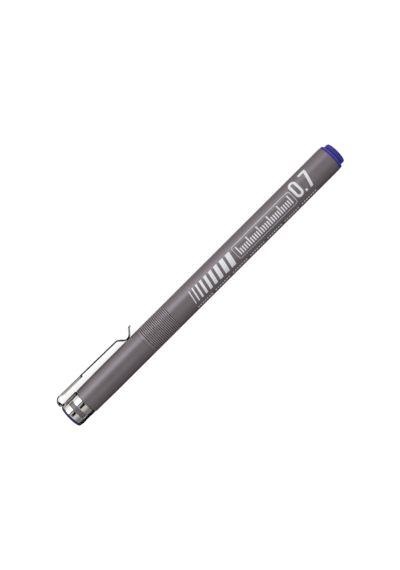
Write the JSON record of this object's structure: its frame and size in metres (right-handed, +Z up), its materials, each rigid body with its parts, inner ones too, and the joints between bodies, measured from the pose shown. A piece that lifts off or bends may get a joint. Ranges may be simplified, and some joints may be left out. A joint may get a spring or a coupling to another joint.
{
  "type": "fineliner pen",
  "caption": "Capped fineliner drawing pen: grooved grip, steel pocket clip on the pull-off cap, coloured crown and tail plug, steel-sleeved fine point inside.",
  "frame": {"origin": "on the pen's axis, halfway along the capped pen, inside the plain stretch of the barrel", "axes": "+X along the pen towards the cap and nib, +Z up as the pen lies on a table with its clip resting on it, -Y the side of the clip"},
  "size_m": [0.1352, 0.0136, 0.0105],
  "materials": {
    "grey_plastic": "fine satin",
    "blue_plastic": "moulded gloss",
    "clip_steel": "polished stainless",
    "nib_steel": "drawn stainless",
    "black_plastic": "satin",
    "liner_plastic": "natural moulded",
    "nib_fibre": "inked fibre",
    "ink_fibre": "inked polyester fibre",
    "clear_film": "thin film"
  },
  "bodies": {
    "barrel": {"barrel_tube": "grey_plastic", "front_section": "grey_plastic", "nib_holder": "black_plastic", "nib_sleeve": "nib_steel", "nib_core": "nib_fibre", "relay_core": "nib_fibre", "ink_reservoir": "ink_fibre", "reservoir_film": "clear_film", "tail_plug": "blue_plastic"},
    "cap": {"cap_shell": "grey_plastic", "cap_crown": "blue_plastic", "clip_clasp": "clip_steel", "inner_cap": "liner_plastic"},
    "clip": {"clip_arm": "clip_steel"}
  },
  "joints": [
    {"name": "cap_pull", "type": "slide", "parent": "barrel", "child": "cap", "axis": [1, 0, 0], "range_m": [0, 0.032]},
    {"name": "clip_flex", "type": "hinge", "parent": "cap", "child": "clip", "pos_m": [0.0675, -0.00534, -0.00218], "axis": [0, -0.377, 0.9262], "range_deg": [0, 5], "stiffness_Nm_per_rad": 0.4}
  ]
}
